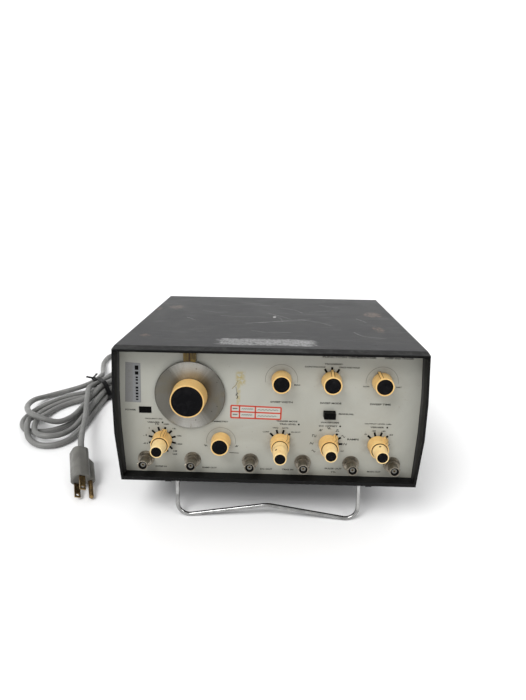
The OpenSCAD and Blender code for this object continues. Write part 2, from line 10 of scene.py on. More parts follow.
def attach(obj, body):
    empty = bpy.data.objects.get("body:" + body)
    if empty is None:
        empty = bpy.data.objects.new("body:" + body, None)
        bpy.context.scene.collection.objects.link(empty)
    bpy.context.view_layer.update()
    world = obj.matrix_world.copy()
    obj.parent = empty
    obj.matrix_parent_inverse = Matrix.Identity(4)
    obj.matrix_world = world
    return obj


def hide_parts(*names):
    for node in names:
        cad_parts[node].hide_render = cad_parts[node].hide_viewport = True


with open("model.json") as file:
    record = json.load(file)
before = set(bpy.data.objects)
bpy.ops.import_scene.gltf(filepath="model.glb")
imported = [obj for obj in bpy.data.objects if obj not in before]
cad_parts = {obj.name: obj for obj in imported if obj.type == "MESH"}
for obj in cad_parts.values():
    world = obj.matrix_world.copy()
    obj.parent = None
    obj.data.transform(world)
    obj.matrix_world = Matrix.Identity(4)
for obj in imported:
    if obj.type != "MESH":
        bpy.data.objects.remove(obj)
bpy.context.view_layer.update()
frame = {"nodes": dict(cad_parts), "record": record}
scene = bpy.context.scene
NODE_BODY = {n: b for b, ns in frame["record"]["behaviour"]["bodies"].items() for n in ns}

# The case's own frame: X right, Y back from the panel face, Z up from the underside, in metres
TILT = math.radians(9)
ROW_Y = -0.1257
FOOT_LINE = 0.235
FOOT_H = 0.008
LIFT = FOOT_LINE * math.sin(TILT) + FOOT_H * math.cos(TILT)
CASE = Matrix.Translation((0, ROW_Y, LIFT)) @ Matrix.Rotation(-TILT, 4, "X")


def panel(x, z, turn=0.0):
    """Frame on the panel face, in mm: +Z points out of the panel, +Y up it."""
    return (CASE @ Matrix.Translation((x / 1000, 0, z / 1000)) @ Matrix.Rotation(math.pi / 2, 4, "X")
            @ Matrix.Rotation(math.radians(-turn), 4, "Z") @ Matrix.Scale(0.001, 4))


# Places on the panel face, in mm: X from its middle, Z up from the underside
DIAL = (-74.3, 84.3)
HIGH_ROW = 100.6
LOW_ROW = 37.4
SINGLES = {"sweep_width": (10.9, HIGH_ROW), "sweep_mode": (57.2, HIGH_ROW),
           "sweep_time": (103.8, HIGH_ROW), "symmetry": (-45.6, LOW_ROW)}
PAIRS = {"range_select": (-102.3, LOW_ROW), "trigger_select": (10.9, LOW_ROW),
         "shape_select": (57.2, LOW_ROW), "level_select": (103.8, LOW_ROW)}
CONTROLS = {**SINGLES, **PAIRS}
JACK_X = (-118.7, -73.3, -17.4, 33.3, 79.6, 118.9)
JACK_Z = 17.2

# ---------------------------------------------------------------- camera
CAMERA_AT = (0.00378, -0.54835, 0.37312)
camera = bpy.data.objects.new("camera", bpy.data.cameras.new("camera"))
scene.collection.objects.link(camera)
ahead = Vector((-0.02153, 0.91033, -0.41332)).normalized()
across = Vector((0.99953, 0.02858, 0.01089)).normalized()
above = across.cross(ahead).normalized()
facing = Matrix((across, above, -ahead)).transposed()
camera.matrix_world = Matrix.Translation(CAMERA_AT) @ facing.to_4x4()
camera.data.sensor_width = 36
camera.data.lens = 27.39
camera.data.clip_start = 0.01
scene.camera = camera

# ---------------------------------------------------------------- cord
# The route, in metres, with Y counted back from the panel face
CORD_OUT = [
    (-0.1, 0.2806, 0.0458), (-0.1, 0.299, 0.042), (-0.104, 0.318, 0.033), (-0.115, 0.336, 0.021),
    (-0.133, 0.35, 0.01), (-0.155, 0.359, 0.004), (-0.18, 0.364, 0.004), (-0.205, 0.367, 0.004),
    (-0.229, 0.37, 0.004), (-0.25, 0.366, 0.004), (-0.263, 0.351, 0.004), (-0.265, 0.33, 0.004),
    (-0.26, 0.308, 0.005), (-0.253, 0.286, 0.009), (-0.249, 0.269, 0.013),
]
LOOP_1 = [
    (-0.251, 0.256, 0.0135), (-0.258, 0.2455, 0.012), (-0.269, 0.2385, 0.0095), (-0.284, 0.2345, 0.006),
    (-0.298, 0.229, 0.004), (-0.311, 0.217, 0.005), (-0.319, 0.199, 0.01), (-0.319, 0.179, 0.014),
    (-0.311, 0.159, 0.018), (-0.299, 0.145, 0.0205), (-0.282, 0.1375, 0.0185), (-0.265, 0.14, 0.013),
    (-0.254, 0.152, 0.012), (-0.249, 0.169, 0.012), (-0.247, 0.187, 0.012), (-0.2425, 0.207, 0.014),
    (-0.234, 0.228, 0.0195),
]
LOOP_2 = [
    (-0.248, 0.242, 0.005), (-0.262, 0.23, 0.004), (-0.277, 0.222, 0.004), (-0.293, 0.209, 0.004),
    (-0.306, 0.192, 0.004), (-0.315, 0.172, 0.004), (-0.316, 0.151, 0.004), (-0.305, 0.134, 0.004),
    (-0.286, 0.13, 0.004), (-0.268, 0.136, 0.004), (-0.254, 0.151, 0.004), (-0.247, 0.172, 0.004),
    (-0.243, 0.196, 0.004), (-0.234, 0.228, 0.0052),
]
LOOP_3 = [
    (-0.24, 0.234, 0.0052), (-0.256, 0.221, 0.004), (-0.274, 0.212, 0.004), (-0.29, 0.197, 0.004),
    (-0.301, 0.18, 0.004), (-0.304, 0.162, 0.006), (-0.304, 0.145, 0.012), (-0.299, 0.127, 0.012),
    (-0.29, 0.111, 0.006), (-0.274, 0.102, 0.004), (-0.256, 0.103, 0.004), (-0.243, 0.115, 0.004),
    (-0.2375, 0.134, 0.004), (-0.235, 0.156, 0.004), (-0.233, 0.18, 0.004), (-0.231, 0.202, 0.004),
    (-0.227, 0.223, 0.0052),
]
LOOP_4 = [
    (-0.237, 0.231, 0.0122), (-0.254, 0.212, 0.007), (-0.272, 0.203, 0.004), (-0.285, 0.189, 0.004),
    (-0.292, 0.173, 0.005), (-0.295, 0.157, 0.008), (-0.293, 0.141, 0.0125), (-0.29, 0.128, 0.012),
    (-0.282, 0.1145, 0.012), (-0.268, 0.1095, 0.012), (-0.254, 0.116, 0.01), (-0.246, 0.136, 0.0065),
    (-0.2395, 0.168, 0.0095), (-0.2365, 0.189, 0.011), (-0.234, 0.208, 0.0115), (-0.23, 0.225, 0.0122),
]
CORD_END = [
    (-0.241, 0.237, 0.0195), (-0.249, 0.216, 0.0215), (-0.2445, 0.195, 0.022), (-0.2385, 0.171, 0.02),
    (-0.232, 0.147, 0.018), (-0.226, 0.122, 0.019), (-0.22, 0.099, 0.022), (-0.2145, 0.081, 0.0242),
    (-0.21, 0.068, 0.023),
]

FOLD = [
    (-0.218, 0.246), (-0.197, 0.257), (-0.177, 0.27), (-0.166, 0.289), (-0.169, 0.309),
    (-0.186, 0.321), (-0.206, 0.317), (-0.219, 0.301), (-0.224, 0.281), (-0.229, 0.262),
]


def folded(first, last, z):
    return [(x, y, z) for x, y in FOLD[first:last + 1]]


FOLD_1 = folded(0, 5, 0.0194) + [
    (-0.208, 0.3195, 0.0194), (-0.224, 0.306, 0.017), (-0.233, 0.286, 0.012), (-0.239, 0.264, 0.007)]
FOLD_2 = folded(0, 0, 0.0045) + folded(1, 8, 0.004) + folded(9, 9, 0.0045)
FOLD_3 = ([(-0.211, 0.238, 0.006), (-0.194, 0.251, 0.011)] + folded(2, 8, 0.0117)
          + folded(9, 9, 0.0123))
FOLD_4 = ([(-0.212, 0.239, 0.0145), (-0.192, 0.249, 0.02), (-0.173, 0.263, 0.026)]
          + folded(3, 6, 0.0271)
          + [(-0.219, 0.301, 0.0245), (-0.224, 0.281, 0.022), (-0.229, 0.262, 0.02)])
ROUTE = [Vector((x, y + ROW_Y, z)) for x, y, z in
         CORD_OUT + LOOP_1 + FOLD_1 + LOOP_2 + FOLD_2 + LOOP_3 + FOLD_3 + LOOP_4 + FOLD_4 + CORD_END]


def smooth(points, steps):
    """Centripetal curve through the points."""
    line = [2 * points[0] - points[1]] + points + [2 * points[-1] - points[-2]]
    out = []
    for a, b, c, d in zip(line, line[1:], line[2:], line[3:]):
        t1 = (b - a).length ** 0.5
        t2 = t1 + (c - b).length ** 0.5
        t3 = t2 + (d - c).length ** 0.5
        for k in range(steps):
            t = t1 + (t2 - t1) * k / steps
            ab = a * ((t1 - t) / t1) + b * (t / t1)
            bc = b * ((t2 - t) / (t2 - t1)) + c * ((t - t1) / (t2 - t1))
            cd = c * ((t3 - t) / (t3 - t2)) + d * ((t - t2) / (t3 - t2))
            low = ab * ((t2 - t) / t2) + bc * (t / t2)
            high = bc * ((t3 - t) / (t3 - t1)) + cd * ((t - t1) / (t3 - t1))
            out.append(low * ((t2 - t) / (t2 - t1)) + high * ((t - t1) / (t2 - t1)))
    return out + [points[-1]]


def wire(name, points, radius):
    """A round strand along the points, closed at both ends."""
    curve = bpy.data.curves.new(name, "CURVE")
    curve.dimensions = "3D"
    curve.bevel_depth = 1  # the points' own radius sets the thickness, so the curve's box is true
    curve.bevel_resolution = 5
    curve.use_fill_caps = True
    line = curve.splines.new("POLY")
    line.points.add(len(points) - 1)
    for spot, p in zip(line.points, points):
        spot.co = (*p, 1)
        spot.radius = radius
    obj = bpy.data.objects.new(name, curve)
    scene.collection.objects.link(obj)
    return obj


SLOT = {s["node"]: s["material_slot"] for s in frame["record"]["subparts"]}


def soften(node, width, segments=3, angle=30):
    """A copy of a CAD node with rounded edges, shown in its place. width is in mm."""
    source = frame["nodes"][node]
    bm = bmesh.new()
    bm.from_mesh(source.data)
    bmesh.ops.remove_doubles(bm, verts=bm.verts, dist=2e-6)
    bmesh.ops.dissolve_limit(bm, angle_limit=math.radians(1), verts=bm.verts, edges=bm.edges)
    mesh = bpy.data.meshes.new(node + "_soft")
    bm.to_mesh(mesh)
    bm.free()
    for mat in source.data.materials:
        mesh.materials.append(mat)
    mesh.polygons.foreach_set("use_smooth", [True] * len(mesh.polygons))
    mesh.set_sharp_from_angle(angle=math.radians(angle))
    obj = bpy.data.objects.new(node + "_soft", mesh)
    scene.collection.objects.link(obj)
    if width:
        edge = obj.modifiers.new("edge", "BEVEL")
        edge.width = width / 1000
        edge.segments = segments
        edge.limit_method = "ANGLE"
        edge.angle_limit = math.radians(angle)
        edge.harden_normals = True
        edge.use_clamp_overlap = True
    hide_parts(node)
    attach(obj, NODE_BODY[node])
    return obj


PLUG = soften("plug_body", 1.0, 3, 40), soften("plug_pins", 0.35, 2)
# the tie's band is drawn half as wide again as its solid
TIE_AT = (-0.237, 0.231 + ROW_Y, 0)
TIE_TURN = math.radians(137.8)
TIE_WIDER = 1.5
TIE = Matrix.Translation(TIE_AT) @ Matrix.Rotation(TIE_TURN, 4, "Z")
tie = soften("cord_tie", 0)
tie.data.transform(TIE @ Matrix.Diagonal((1, TIE_WIDER, 1, 1)) @ TIE.inverted())

CORD_R = 0.0035
CORD_LOW = CORD_R + 0.0001  # a strand on the bench lies a tenth of a millimetre above it
strand = [Vector((p.x, p.y, max(p.z, CORD_LOW))) for p in smooth(ROUTE, 6)]
cord = wire("cord_jacket", strand, CORD_R)
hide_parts("mains_cord")
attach(cord, "case")


# ---------------------------------------------------------------- materials
class Paint:
    """A Principled material with a few node shortcuts. Positions are in metres, as the part stands."""

    def __init__(self, name, colour, rough, metal=0.0, spec=0.5, coat=0.0, coat_rough=0.1):
        self.mat = bpy.data.materials.new(name)
        self.mat.use_nodes = True
        self.tree = self.mat.node_tree
        self.shader = self.tree.nodes["Principled BSDF"]
        self.put(self.shader, "Base Color", (*colour, 1))
        self.put(self.shader, "Roughness", rough)
        self.put(self.shader, "Metallic", metal)
        self.put(self.shader, "Specular IOR Level", spec)
        self.put(self.shader, "Coat Weight", coat)
        self.put(self.shader, "Coat Roughness", coat_rough)
        self.mat.diffuse_color = (*colour, 1)
        self.place = self.tree.nodes.new("ShaderNodeTexCoord").outputs["Object"]

    def put(self, node, socket, value):
        if isinstance(value, bpy.types.NodeSocket):
            self.tree.links.new(value, node.inputs[socket])
        else:
            node.inputs[socket].default_value = value

    def stretched(self, place, scale):
        node = self.tree.nodes.new("ShaderNodeMapping")
        self.put(node, "Vector", place)
        self.put(node, "Scale", scale)
        return node.outputs[0]

    def noise(self, scale, detail=3.0, rough=0.55, warp=0.0, place=None):
        node = self.tree.nodes.new("ShaderNodeTexNoise")
        self.put(node, "Vector", place or self.place)
        self.put(node, "Scale", scale)
        self.put(node, "Detail", detail)
        self.put(node, "Roughness", rough)
        self.put(node, "Distortion", warp)
        return node.outputs["Fac"]

    def step(self, value, low, high, out_low=0.0, out_high=1.0):
        node = self.tree.nodes.new("ShaderNodeMapRange")
        node.interpolation_type = "SMOOTHSTEP"
        for socket, v in zip(("Value", "From Min", "From Max", "To Min", "To Max"),
                             (value, low, high, out_low, out_high)):
            self.put(node, socket, v)
        return node.outputs[0]

    def math(self, op, a, b=0.0):
        node = self.tree.nodes.new("ShaderNodeMath")
        node.operation = op
        for i, v in enumerate((a, b)):
            self.put(node, i, v)
        return node.outputs[0]

    def axis(self, which, place):
        node = self.tree.nodes.new("ShaderNodeSeparateXYZ")
        self.put(node, 0, place)
        return node.outputs[which]

    def blend(self, fac, a, b):
        node = self.tree.nodes.new("ShaderNodeMix")
        node.data_type = "RGBA"
        self.put(node, 0, fac)
        for i, v in ((6, a), (7, b)):
            self.put(node, i, v if isinstance(v, bpy.types.NodeSocket) else (*v, 1))
        return node.outputs[2]

    def bump(self, height, strength, distance):
        node = self.tree.nodes.new("ShaderNodeBump")
        self.put(node, "Height", height)
        self.put(node, "Strength", strength)
        self.put(node, "Distance", distance)
        self.put(self.shader, "Normal", node.outputs[0])

    def colour(self, value):
        self.put(self.shader, "Base Color", value)

    def rough(self, value):
        self.put(self.shader, "Roughness", value)

    def in_case(self, place=None):
        """Positions in the case's own upright frame, in metres."""
        moved = self.tree.nodes.new("ShaderNodeMapping")
        moved.vector_type = "POINT"
        self.put(moved, "Vector", place or self.place)
        self.put(moved, "Location", (0, -ROW_Y, -LIFT))
        turned = self.tree.nodes.new("ShaderNodeMapping")
        self.put(turned, "Vector", moved.outputs[0])
        self.put(turned, "Rotation", (TILT, 0, 0))
        return turned.outputs[0]


def within(p, value, centre, half, soft):
    """1 within half of the centre, fading to 0 over soft."""
    away = p.math("ABSOLUTE", p.math("SUBTRACT", value, centre))
    return p.step(away, half, half + soft, 1.0, 0.0)


def distance(p, x, z, centre):
    """How far a point of the panel is from a centre in mm, and its two offsets, in metres."""
    dx, dz = p.math("SUBTRACT", x, centre[0] / 1000), p.math("SUBTRACT", z, centre[1] / 1000)
    squares = p.math("ADD", p.math("MULTIPLY", dx, dx), p.math("MULTIPLY", dz, dz))
    return p.math("SQRT", squares), dx, dz


def shade(colour, amount):
    return tuple(c * amount for c in colour)


# torn patches of the lid's enamel: centre X and Y, and half their size, in metres
TORN = ((-0.118, 0.176, 0.012, 0.016), (-0.122, 0.031, 0.007, 0.008), (0.118, 0.152, 0.014, 0.02),
        (-0.137, 0.163, 0.006, 0.01), (0.112, 0.075, 0.008, 0.02))


def lid_wear(p, tone, spot):
    """Torn patches, a chalky rub along the front of the lid, and one pale dot."""
    x, y = p.axis(0, spot), p.axis(1, spot)
    for cx, cy, rx, ry in TORN:
        patch = p.math("MULTIPLY", within(p, x, cx, 0, rx * 1.7), within(p, y, cy, 0, ry * 1.7))
        torn = p.step(p.math("MULTIPLY", patch, p.noise(120, 5, 0.7, 1.0)), 0.26, 0.4)
        torn = p.math("MULTIPLY", torn, p.step(p.noise(420, 4, 0.7, 0.6), 0.42, 0.6))
        tone = p.blend(p.math("MULTIPLY", torn, 0.75), tone, (0.19, 0.14, 0.11))
    band = p.math("MULTIPLY", within(p, x, -0.004, 0.036, 0.028), within(p, y, 0.0135, 0.007, 0.014))
    up = p.step(p.axis(2, spot), 0.131, 0.1325)
    chalk = p.noise(190, 6, 0.8, 0.5, p.stretched(spot, (0.7, 1, 1)))
    mask = p.math("MULTIPLY", p.step(p.math("MULTIPLY", band, chalk), 0.28, 0.5), up)
    mask = p.math("MULTIPLY", mask, p.step(p.noise(520, 4, 0.7, 0.4), 0.36, 0.6, 0.25, 1.0))
    tone = p.blend(p.math("MULTIPLY", mask, 0.85), tone, (0.32, 0.32, 0.32))
    dot = p.math("MULTIPLY", within(p, x, 0.003, 0.0009, 0.0012), within(p, y, 0.128, 0.0012, 0.002))
    return p.blend(dot, tone, (0.6, 0.6, 0.58))


def case_paint(name, base, lid):
    p = Paint(name, base, 0.55, spec=0.13)
    spot = p.in_case()
    cloud = p.noise(13, 6, 0.66, 0.5)
    streak = p.noise(70, 5, 0.62, 0.6, p.stretched(spot, (0.6, 1.9, 1.2)))
    fine = p.noise(900, 2, 0.5)
    tone = p.blend(p.step(cloud, 0.34, 0.68), shade(base, 0.66), shade(base, 1.4))
    tone = p.blend(p.step(streak, 0.48, 0.76, 0, 0.5), tone, shade(base, 2.2))
    speck = p.step(p.noise(210, 4, 0.7, 0.4), 0.62, 0.74, 0, 0.5)
    tone = p.blend(speck, tone, shade(base, 2.9))
    pit = p.step(p.noise(150, 4, 0.7, 0.9), 0.62, 0.72, 0, 0.6)
    tone = p.blend(pit, tone, shade(base, 0.35))
    # rubbed and rusty patches, mostly along the two long edges
    edge = p.step(p.math("ABSOLUTE", p.axis(0, spot)), 0.085, 0.135, 0.4, 0.8)
    rub = p.step(p.noise(62, 6, 0.72, 1.3), 0.62, 0.72, 0, 0.5)
    tone = p.blend(p.math("MULTIPLY", rub, edge), tone, (0.13, 0.1, 0.08))
    if lid:
        tone = lid_wear(p, tone, spot)
    p.colour(tone)
    p.rough(p.step(cloud, 0.3, 0.75, 0.44, 0.62))
    p.bump(fine, 0.28, 0.0004)
    return p.mat


lid_paint = case_paint("lid_enamel", (0.034, 0.034, 0.0352), True)
base_paint = case_paint("base_enamel", (0.022, 0.022, 0.023), False)


def bezel_material():
    p = Paint("bezel_enamel", (0.008, 0.008, 0.008), 0.45, spec=0.08)
    spot = p.in_case()
    z = p.axis(2, spot)
    # lighter strip along the top edge: painted highlight on the bevel, broken up by wear
    edge = p.step(z, 0.1312, 0.1322)
    edge_wear_and_sheen = p.step(p.noise(120, 4, 0.65, 0.6), 0.42, 0.66)
    chips = p.step(p.noise(260, 3, 0.6, 0.4), 0.66, 0.72)
    tone = p.blend(p.math("MULTIPLY", edge, p.math("MULTIPLY", edge_wear_and_sheen, 0.3)),
                   (0.006, 0.006, 0.006), (0.06, 0.06, 0.058))
    tone = p.blend(p.math("MULTIPLY", chips, 0.25), tone, (0.09, 0.09, 0.085))
    # painted shade: a near-black band on the front face of the top rim
    tone = p.blend(within(p, z, 0.1287, 0.0016, 0.0004), tone, (0.0012, 0.0012, 0.0012))
    p.colour(tone)
    p.bump(p.noise(1100, 2, 0.5), 0.22, 0.0003)
    return p.mat


bezel_paint = bezel_material()


def panel_material():
    p = Paint("panel_enamel", (0.35, 0.35, 0.312), 0.42, spec=0.42)
    spot = p.in_case()
    x, z = p.axis(0, spot), p.axis(2, spot)
    cloud = p.noise(16, 5, 0.6, 0.5)
    tone = p.blend(p.step(cloud, 0.35, 0.7, 0, 0.75), (0.365, 0.366, 0.326), (0.31, 0.308, 0.268))
    speck = p.step(p.noise(420, 3, 0.6, 0.3), 0.66, 0.76, 0, 0.35)
    tone = p.blend(speck, tone, (0.16, 0.145, 0.115))
    low = p.step(z, 0.02, 0.0, 0, 0.3)
    tone = p.blend(p.math("MULTIPLY", low, p.step(cloud, 0.3, 0.7)), tone, (0.17, 0.15, 0.11))
    for centre in CONTROLS.values():
        grime_r = 0.0115 if centre in SINGLES.values() else 0.0125
        away = distance(p, x, z, centre)[0]
        ring = p.step(away, grime_r * 0.8, grime_r * 1.5, 0.32, 0.0)
        tone = p.blend(p.math("MULTIPLY", ring, p.step(p.noise(150, 4, 0.6), 0.35, 0.65)), tone,
                       (0.14, 0.115, 0.08))
    stain = p.math("MULTIPLY", within(p, x, -0.027, 0.002, 0.004), within(p, z, 0.1015, 0.003, 0.006))
    drip = p.math("MULTIPLY", within(p, x, -0.029, 0.0005, 0.0022), within(p, z, 0.087, 0.012, 0.006))
    mask = p.math("MULTIPLY", p.math("MAXIMUM", stain, p.math("MULTIPLY", drip, 0.7)),
                  p.step(p.noise(230, 4, 0.65, 0.8), 0.36, 0.56))
    tone = p.blend(p.math("MULTIPLY", mask, 0.85), tone, (0.33, 0.26, 0.07))
    p.colour(tone)
    p.rough(p.step(cloud, 0.3, 0.7, 0.36, 0.5))
    p.bump(p.noise(1400, 2, 0.5), 0.1, 0.0002)
    return p.mat


panel_paint = panel_material()


def plain(name, colour, rough, metal=0.0, spec=0.5, mottled=0.2, scale=60, grain=0.0):
    """A material with mottled colour and gloss, and an optional fine grain."""
    p = Paint(name, colour, rough, metal, spec)
    cloud = p.noise(scale, 5, 0.6, 0.5)
    p.colour(p.blend(p.step(cloud, 0.3, 0.72), tuple(min(1, c * (1 + mottled * 0.6)) for c in colour),
                     shade(colour, 1 - mottled)))
    p.rough(p.step(cloud, 0.3, 0.75, max(0.04, rough - 0.07), min(1, rough + 0.1)))
    if grain:
        p.bump(p.noise(900, 2, 0.5), grain, 0.0003)
    return p.mat


def knob_material(name, colour, dirt):
    p = Paint(name, colour, 0.36, spec=0.4, coat=0.08, coat_rough=0.3)
    p.put(p.shader, "Subsurface Weight", 0.05)
    p.put(p.shader, "Subsurface Radius", (0.004, 0.002, 0.001))
    p.put(p.shader, "Subsurface Scale", 0.6)
    cloud = p.noise(75, 5, 0.62, 0.8)
    worn = tuple(c * k for c, k in zip(colour, (0.9, 0.82, 0.7)))
    tone = p.blend(p.step(cloud, 0.32, 0.7, 0, 0.8), colour, worn)
    grime = p.math("MULTIPLY", p.step(p.noise(330, 4, 0.7, 0.5), 0.58, 0.72), dirt)
    tone = p.blend(grime, tone, (0.28, 0.16, 0.06))
    p.colour(tone)
    p.bump(p.noise(700, 2, 0.5), 0.08, 0.0003)
    return p.mat


cream = knob_material("knob_cream", (0.78, 0.52, 0.2), 0.5)
cream_light = knob_material("knob_cream_pale", (0.86, 0.65, 0.32), 0.3)


def cap_material():
    p = Paint("knob_insert", (0.003, 0.003, 0.0035), 0.34, spec=0.05)
    cloud = p.noise(140, 5, 0.65, 0.6)
    p.colour(p.blend(p.step(cloud, 0.45, 0.75), (0.0028, 0.0028, 0.0035), (0.009, 0.0085, 0.0095)))
    p.rough(p.step(cloud, 0.35, 0.7, 0.22, 0.42))
    return p.mat


cap_black = cap_material()

nickel = plain("jack_nickel", (0.24, 0.215, 0.175), 0.34, 1.0, mottled=0.3, scale=150, grain=0.15)
# near-black lining for the jacks' mouths: painted shade inside the barrels
mouth_shade_dark = plain("jack_mouth", (0.012, 0.011, 0.01), 0.5, 0.2, mottled=0.3, scale=300)
# the insulators and contacts deep in the jacks are darkened: painted shade of the recess
shaded_dielectric = plain("jack_dielectric", (0.13, 0.125, 0.11), 0.5, mottled=0.3, scale=300)
shaded_gold = plain("contact_gold", (0.12, 0.085, 0.04), 0.45, 1.0, mottled=0.3, scale=300)
steel = plain("plated_steel", (0.36, 0.36, 0.355), 0.42, 1.0, mottled=0.08, scale=25, grain=0.08)
screw = plain("screw_steel", (0.3, 0.3, 0.295), 0.36, 1.0, mottled=0.35, scale=200)
chrome = plain("bail_chrome", (0.36, 0.36, 0.355), 0.14, 1.0, mottled=0.35, scale=90, grain=0.06)
black_plastic = plain("black_plastic", (0.01, 0.01, 0.0105), 0.38, spec=0.3, mottled=0.3, scale=120,
                      grain=0.1)
button_black = plain("button_black", (0.0018, 0.0018, 0.0018), 0.36, spec=0.04, mottled=0.3, scale=200)
rubber = plain("foot_rubber", (0.018, 0.018, 0.018), 0.8, mottled=0.35, scale=80, grain=0.4)
red_plastic = plain("slide_red", (0.42, 0.02, 0.015), 0.35)
board_green = plain("board_laminate", (0.02, 0.12, 0.05), 0.3, mottled=0.3, scale=100)
component = plain("component", (0.02, 0.02, 0.022), 0.45)
iron = plain("transformer_iron", (0.06, 0.045, 0.035), 0.6, mottled=0.4, scale=60, grain=0.3)
can = plain("capacitor_can", (0.55, 0.58, 0.62), 0.3, 1.0)
tie_plastic = plain("tie_plastic", (0.006, 0.006, 0.0065), 0.34, spec=0.25, mottled=0.3, scale=200)


def jacket_material(name, colour, scale, dirt):
    p = Paint(name, colour, 0.46, spec=0.45)
    cloud = p.noise(scale, 5, 0.6, 0.7)
    tone = p.blend(p.step(cloud, 0.34, 0.7), shade(colour, 1.12), shade(colour, 0.84))
    smear = p.step(p.noise(scale * 3.1, 4, 0.7, 1.1), 0.6, 0.74, 0, dirt)
    tone = p.blend(smear, tone, tuple(c * k for c, k in zip(colour, (0.55, 0.5, 0.45))))
    p.colour(tone)
    p.rough(p.step(cloud, 0.3, 0.75, 0.38, 0.56))
    p.bump(p.noise(650, 2, 0.5), 0.14, 0.0004)
    return p.mat


jacket = jacket_material("cord_jacket_pvc", (0.17, 0.17, 0.163), 28, 0.45)
plug_vinyl = jacket_material("plug_vinyl", (0.125, 0.122, 0.11), 60, 0.55)


def brass_material():
    p = Paint("plug_brass", (0.42, 0.29, 0.12), 0.34, 1.0)
    cloud = p.noise(180, 5, 0.65, 0.6)
    p.colour(p.blend(p.step(cloud, 0.36, 0.66), (0.32, 0.22, 0.095), (0.1, 0.062, 0.03)))
    p.rough(p.step(cloud, 0.3, 0.7, 0.26, 0.5))
    p.bump(p.noise(420, 4, 0.6), 0.15, 0.0003)
    return p.mat


brass = brass_material()


def amber_material():
    p = Paint("index_amber", (0.1, 0.065, 0.012), 0.3, spec=0.25)
    cloud = p.noise(230, 4, 0.6, 0.5)
    p.colour(p.blend(p.step(cloud, 0.35, 0.68), (0.16, 0.105, 0.02), (0.05, 0.032, 0.007)))
    return p.mat


amber = amber_material()


def dial_material():
    """Circularly turned aluminium, with a painted highlight in its colour: bright wedges at the top and
    bottom and painted shade at the sides, which stay in place in the case's frame as the disc turns.
    """
    p = Paint("dial_aluminium", (0.3, 0.3, 0.29), 0.3, 1.0)
    where = p.in_case(p.tree.nodes.new("ShaderNodeNewGeometry").outputs["Position"])
    away, dx, dz = distance(p, p.axis(0, where), p.axis(2, where), DIAL)
    turn = p.math("ARCTAN2", dx, dz)
    rings = p.tree.nodes.new("ShaderNodeCombineXYZ")
    p.put(rings, 0, away)
    grooves = p.noise(2600, 6, 0.8, 0, rings.outputs[0])
    rays = p.tree.nodes.new("ShaderNodeCombineXYZ")
    p.put(rays, 0, turn)
    ray = p.noise(4.5, 5, 0.72, 0, rays.outputs[0])
    cloud = p.noise(0.06, 5, 0.65, 0.8)
    # painted highlight and shade: bright wedges above and below the centre, dark at the sides, streaked by
    # rays
    painted_sheen = p.math("COSINE", p.math("MULTIPLY", p.math("SUBTRACT", turn, 0.06), 2.0))
    painted_sheen = p.math("ADD", painted_sheen, p.math("MULTIPLY", p.math("SUBTRACT", ray, 0.5), 1.1))
    tone = p.blend(p.step(painted_sheen, -0.1, 1.25), (0.15, 0.144, 0.126), (0.5, 0.49, 0.455))
    tone = p.blend(p.step(grooves, 0.38, 0.62, 0.0, 0.5), tone, (0.09, 0.087, 0.077))
    tone = p.blend(p.step(cloud, 0.5, 0.7, 0, 0.4), tone, (0.14, 0.12, 0.075))
    p.colour(tone)
    p.put(p.shader, "Anisotropic", 0.85)
    p.put(p.shader, "Anisotropic Rotation", 0.25)
    p.put(p.shader, "Roughness", 0.32)
    tangent = p.tree.nodes.new("ShaderNodeTangent")
    tangent.direction_type = "RADIAL"
    tangent.axis = "Z"
    p.put(p.shader, "Tangent", tangent.outputs[0])
    return p.mat


dial_metal = dial_material()

ink = plain("ink_black", (0.004, 0.004, 0.004), 0.6, spec=0.05, mottled=0.3, scale=500)
ink_grey = plain("ink_grey", (0.015, 0.015, 0.014), 0.6, spec=0.1, mottled=0.3, scale=500)
ink_pale = plain("ink_pale", (0.17, 0.17, 0.155), 0.5, mottled=0.2, scale=500)
ink_red = plain("ink_red", (0.45, 0.033, 0.011), 0.45, mottled=0.25, scale=400)
# brown for the printed index line, and for painted shade beside the knob pointers and between paired knobs
ink_brown = plain("ink_brown", (0.045, 0.024, 0.01), 0.5, spec=0.2, mottled=0.3, scale=500)
ink_stain = plain("ink_stain", (0.2, 0.16, 0.06), 0.5, mottled=0.4, scale=400)
scratch = plain("scratch", (0.3, 0.3, 0.29), 0.5, mottled=0.6, scale=160)
sticker_white = plain("sticker_white", (0.44, 0.44, 0.395), 0.5, mottled=0.15, scale=120)
sticker_grey = plain("sticker_silver", (0.19, 0.19, 0.187), 0.36, 0.2, mottled=0.25, scale=90)
sticker_blue = plain("sticker_blue", (0.2, 0.205, 0.21), 0.42, mottled=0.2, scale=90)

MATERIALS = {
    "front_bezel": bezel_paint, "front_panel": panel_paint, "top_cover": lid_paint,
    "bottom_cover": base_paint, "rear_panel": steel, "side_rails": steel, "cover_screws": screw,
    "main_board": board_green, "board_standoffs": steel, "board_parts": component,
    "power_transformer": iron, "filter_capacitors": can, "control_bodies": steel,
    "control_nuts": steel, "power_switch": component, "trigger_switch": component,
    "dial_index": amber, "bnc_shells": nickel, "bnc_nuts": nickel, "bnc_insulators": shaded_dielectric,
    "bnc_contacts": shaded_gold, "fuse_holder": black_plastic, "voltage_selector": black_plastic,
    "strain_relief": black_plastic, "rear_feet": rubber, "front_feet": rubber,
    "bail_brackets": black_plastic, "dial_disc": dial_metal, "power_button": button_black,
    "trigger_button": button_black, "selector_slide": red_plastic, "fuse_cap": black_plastic,
    "bail": chrome, "mains_cord": jacket, "plug_body": plug_vinyl, "plug_pins": brass,
    "cord_tie": tie_plastic,
}
KNOB_MATERIALS = {"cap": cap_black, "inner": cream_light}
